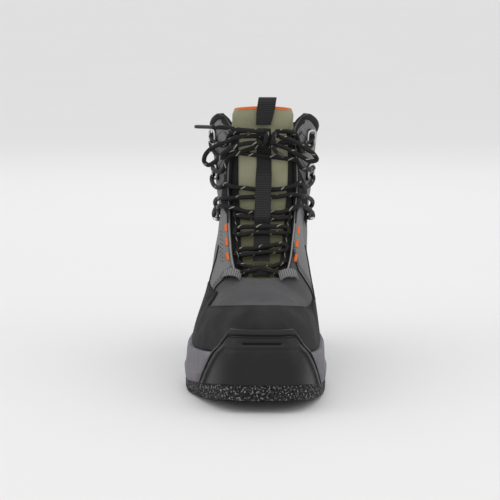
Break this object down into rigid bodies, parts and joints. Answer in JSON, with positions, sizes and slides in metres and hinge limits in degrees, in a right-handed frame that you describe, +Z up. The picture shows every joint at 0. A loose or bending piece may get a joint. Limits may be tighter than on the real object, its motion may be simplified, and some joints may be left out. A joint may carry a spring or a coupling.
{
  "type": "wading boot",
  "caption": "Grey and black lace-up wading boot with felt outsole, black rubber toe bumper, olive tongue with orange edge, metal lace hooks and a black pull loop, wearer's right",
  "frame": {"origin": "middle of the heel's flat bottom on the floor, under the centre of the heel", "axes": "+Z up, toe towards -Y, outer (lateral) side towards -X, inner (medial) side towards +X"},
  "size_m": [0.1152, 0.3111, 0.2279],
  "materials": {
    "felt": "dense grey-black felt",
    "midsole": "matt moulded foam rubber",
    "bumper_rubber": "semi-gloss moulded rubber",
    "insole_foam": "matt foam with a cloth face",
    "upper_nubuck": "matt grey nubuck-like microfibre",
    "rand_rubber": "matt, fine grained",
    "tongue_leather": "matt olive-khaki microfibre",
    "eyestay": "matt woven tape",
    "webbing": "matt ribbed webbing",
    "binding": "orange woven tape",
    "hook_metal": "satin stainless steel",
    "tab": "matt black webbing",
    "orange_cord": "orange cord",
    "lace_loop": "grey woven webbing",
    "lace_cord": "round woven cord, black with grey flecks",
    "aglet": "clear-coated black tip"
  },
  "bodies": {
    "root": {"felt_forefoot": "felt", "felt_heel": "felt", "midsole": "midsole", "toe_bumper": "bumper_rubber", "insole": "insole_foam", "upper": "upper_nubuck", "rand": "rand_rubber", "heel_counter": "rand_rubber", "tongue": "tongue_leather", "eyestay_lateral": "eyestay", "eyestay_medial": "eyestay", "tongue_webbing": "webbing", "pull_loop": "webbing", "tongue_binding": "binding", "upper_hook_lateral": "hook_metal", "upper_hook_medial": "hook_metal", "lower_hook_lateral": "hook_metal", "lower_hook_medial": "hook_metal", "ankle_roller_lateral": "hook_metal", "ankle_roller_medial": "hook_metal", "upper_tab_lateral": "tab", "upper_tab_medial": "tab", "lower_tab_lateral": "tab", "lower_tab_medial": "tab", "ankle_tab_lateral": "tab", "ankle_tab_medial": "tab", "orange_stitch_lateral_1": "orange_cord", "orange_stitch_lateral_2": "orange_cord", "orange_stitch_lateral_3": "orange_cord", "orange_stitch_medial_1": "orange_cord", "orange_stitch_medial_2": "orange_cord", "orange_stitch_medial_3": "orange_cord", "lace_loop_lateral": "lace_loop", "lace_loop_medial": "lace_loop", "bow_knot": "lace_cord", "bow_loop_lateral": "lace_cord", "bow_loop_medial": "lace_cord", "lace_ankle_high": "lace_cord", "lace_ankle_low": "lace_cord", "lace_cross_shaft": "lace_cord", "lace_cross_toe": "lace_cord", "lace_end_lateral": "lace_cord", "lace_end_medial": "lace_cord", "lace_row_1_high": "lace_cord", "lace_row_1_low": "lace_cord", "lace_row_2_high": "lace_cord", "lace_row_2_low": "lace_cord", "lace_shaft_high": "lace_cord", "lace_shaft_low": "lace_cord", "lace_top_lateral": "lace_cord", "lace_top_medial": "lace_cord", "aglet_lateral": "aglet", "aglet_medial": "aglet"}
  },
  "joints": []
}
